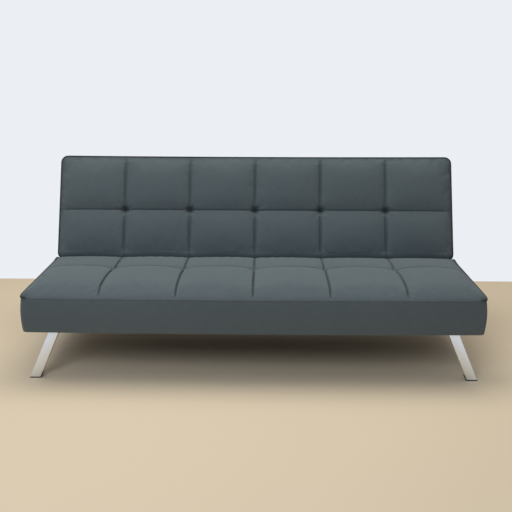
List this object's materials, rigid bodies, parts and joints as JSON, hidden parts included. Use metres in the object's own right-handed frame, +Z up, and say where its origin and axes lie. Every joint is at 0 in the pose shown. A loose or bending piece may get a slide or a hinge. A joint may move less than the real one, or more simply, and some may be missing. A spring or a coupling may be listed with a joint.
{
  "type": "click clack sofa bed",
  "caption": "Armless sofa bed with a tufted seat pad and back pad on ratchet hinges; the back tips forward to release, then lies flat. Splayed chrome legs.",
  "frame": {"origin": "on the floor, under the middle of the sofa's box with the back upright", "axes": "+X along the width, to the right seen from the front; +Y to the rear; +Z up"},
  "size_m": [1.809, 0.8699, 0.7909],
  "materials": {
    "upholstery": "flat-woven slate grey polyester cloth over foam, dull",
    "piping": "the same cloth over a cord, a shade darker",
    "lining": "thin black non-woven lining cloth",
    "chrome": "polished chrome plate",
    "foot_plastic": "black moulded plastic, satin",
    "timber": "planed pine, bare",
    "board": "plain hardboard",
    "black_steel": "black powder coat, satin",
    "zinc_steel": "bright zinc plate"
  },
  "bodies": {
    "seat": {"seat_cushion": "upholstery", "seat_piping": "piping", "seat_front_rail": "timber", "seat_rear_rail": "timber", "seat_side_rail_left": "timber", "seat_side_rail_right": "timber", "seat_leg_rail_left": "timber", "seat_leg_rail_right": "timber", "seat_deck": "board", "seat_dust_cover": "lining", "leg_support_bar_left": "black_steel", "leg_support_bar_right": "black_steel", "front_leg_left": "chrome", "front_leg_right": "chrome", "rear_leg_left": "chrome", "rear_leg_right": "chrome", "front_foot_left": "foot_plastic", "front_foot_right": "foot_plastic", "rear_foot_left": "foot_plastic", "rear_foot_right": "foot_plastic", "front_leg_bolt_left_1": "zinc_steel", "front_leg_bolt_left_2": "zinc_steel", "front_leg_bolt_right_1": "zinc_steel", "front_leg_bolt_right_2": "zinc_steel", "rear_leg_bolt_left_1": "zinc_steel", "rear_leg_bolt_left_2": "zinc_steel", "rear_leg_bolt_right_1": "zinc_steel", "rear_leg_bolt_right_2": "zinc_steel", "bar_bolt_left": "zinc_steel", "bar_bolt_right": "zinc_steel", "hinge_seat_plate_left": "zinc_steel", "hinge_seat_plate_right": "zinc_steel", "hinge_cover_plate_left": "zinc_steel", "hinge_cover_plate_right": "zinc_steel", "pivot_pin_left": "zinc_steel", "pivot_pin_right": "zinc_steel", "pawl_spring_left": "zinc_steel", "pawl_spring_right": "zinc_steel", "hinge_seat_bolt_left_1": "zinc_steel", "hinge_seat_bolt_left_2": "zinc_steel", "hinge_seat_bolt_right_1": "zinc_steel", "hinge_seat_bolt_right_2": "zinc_steel"},
    "back": {"back_cushion": "upholstery", "back_piping": "piping", "back_top_rail": "timber", "back_bottom_rail": "timber", "back_side_rail_left": "timber", "back_side_rail_right": "timber", "back_cross_rail_left": "timber", "back_cross_rail_right": "timber", "back_deck": "board", "back_rear_cover": "lining", "hinge_back_plate_left": "zinc_steel", "hinge_back_plate_right": "zinc_steel", "hinge_back_bolt_left_1": "zinc_steel", "hinge_back_bolt_left_2": "zinc_steel", "hinge_back_bolt_right_1": "zinc_steel", "hinge_back_bolt_right_2": "zinc_steel"},
    "pawl_left": {"pawl_left": "zinc_steel"},
    "pawl_right": {"pawl_right": "zinc_steel"}
  },
  "joints": [
    {"name": "back_recline", "type": "hinge", "parent": "seat", "child": "back", "pos_m": [0, 0.1696, 0.32], "axis": [-1, 0, 0], "range_deg": [-10, 68]},
    {"name": "pawl_left_lift", "type": "hinge", "parent": "seat", "child": "pawl_left", "pos_m": [-0.8533, 0.1116, 0.276], "axis": [1, 0, 0], "range_deg": [0, 6], "stiffness_Nm_per_rad": 0.5, "springref_deg": 6.02},
    {"name": "pawl_right_lift", "type": "hinge", "parent": "seat", "child": "pawl_right", "pos_m": [0.8533, 0.1116, 0.276], "axis": [1, 0, 0], "range_deg": [0, 6], "stiffness_Nm_per_rad": 0.5, "springref_deg": 6.02}
  ]
}
